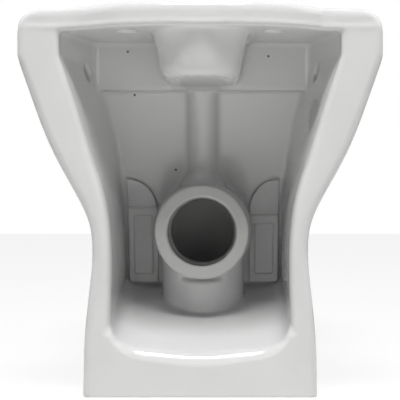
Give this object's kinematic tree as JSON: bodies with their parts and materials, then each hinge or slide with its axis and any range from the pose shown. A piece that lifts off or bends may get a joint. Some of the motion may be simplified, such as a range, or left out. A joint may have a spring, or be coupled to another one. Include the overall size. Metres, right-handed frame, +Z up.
{
  "type": "floor-standing toilet",
  "caption": "Floor-standing close-coupled toilet pan in glazed china, open at the back round its horizontal outlet, with a seat and lid that hinge up.",
  "frame": {"origin": "on the floor, under the centre of the pan's box", "axes": "+Z up, +Y towards the wall and the drain, +X to the right of someone who faces the wall; the middle plane is X = 0"},
  "size_m": [0.375, 0.6738, 0.424],
  "materials": {
    "glazed_china": "gloss glaze",
    "bare_china": "unglazed face",
    "hinge_metal": "polished plate",
    "nut_steel": "zinc plated",
    "bracket_steel": "zinc plated",
    "bush_rubber": "moulded",
    "buffer_rubber": "moulded",
    "seat_plastic": "gloss",
    "cap_plastic": "gloss"
  },
  "bodies": {
    "pan": {"pan_shell": "glazed_china", "bowl": "glazed_china", "rim_ring": "glazed_china", "cistern_shelf": "glazed_china", "inlet_chamber": "glazed_china", "feed_plate": "glazed_china", "flush_rib": "glazed_china", "trap_bend": "glazed_china", "outlet_spigot": "bare_china", "support_web_left": "glazed_china", "support_web_right": "glazed_china", "hinge_bushes": "bush_rubber", "hinge_nuts": "nut_steel", "hinge_base_left": "hinge_metal", "hinge_bolt_left": "nut_steel", "hinge_barrel_left": "hinge_metal", "hinge_pin_left": "hinge_metal", "hinge_base_right": "hinge_metal", "hinge_bolt_right": "nut_steel", "hinge_barrel_right": "hinge_metal", "hinge_pin_right": "hinge_metal", "floor_bracket_left": "bracket_steel", "floor_bracket_right": "bracket_steel", "side_screws": "nut_steel", "screw_caps": "cap_plastic"},
    "seat": {"seat_ring": "seat_plastic", "seat_buffers": "buffer_rubber"},
    "lid": {"lid": "seat_plastic", "lid_buffers": "buffer_rubber"}
  },
  "joints": [
    {"name": "seat_hinge", "type": "hinge", "parent": "pan", "child": "seat", "pos_m": [0, 0.098, 0.413], "axis": [-1, 0, 0], "range_deg": [0, 90]},
    {"name": "lid_hinge", "type": "hinge", "parent": "seat", "child": "lid", "pos_m": [0, 0.098, 0.413], "axis": [-1, 0, 0], "range_deg": [0, 90]}
  ]
}
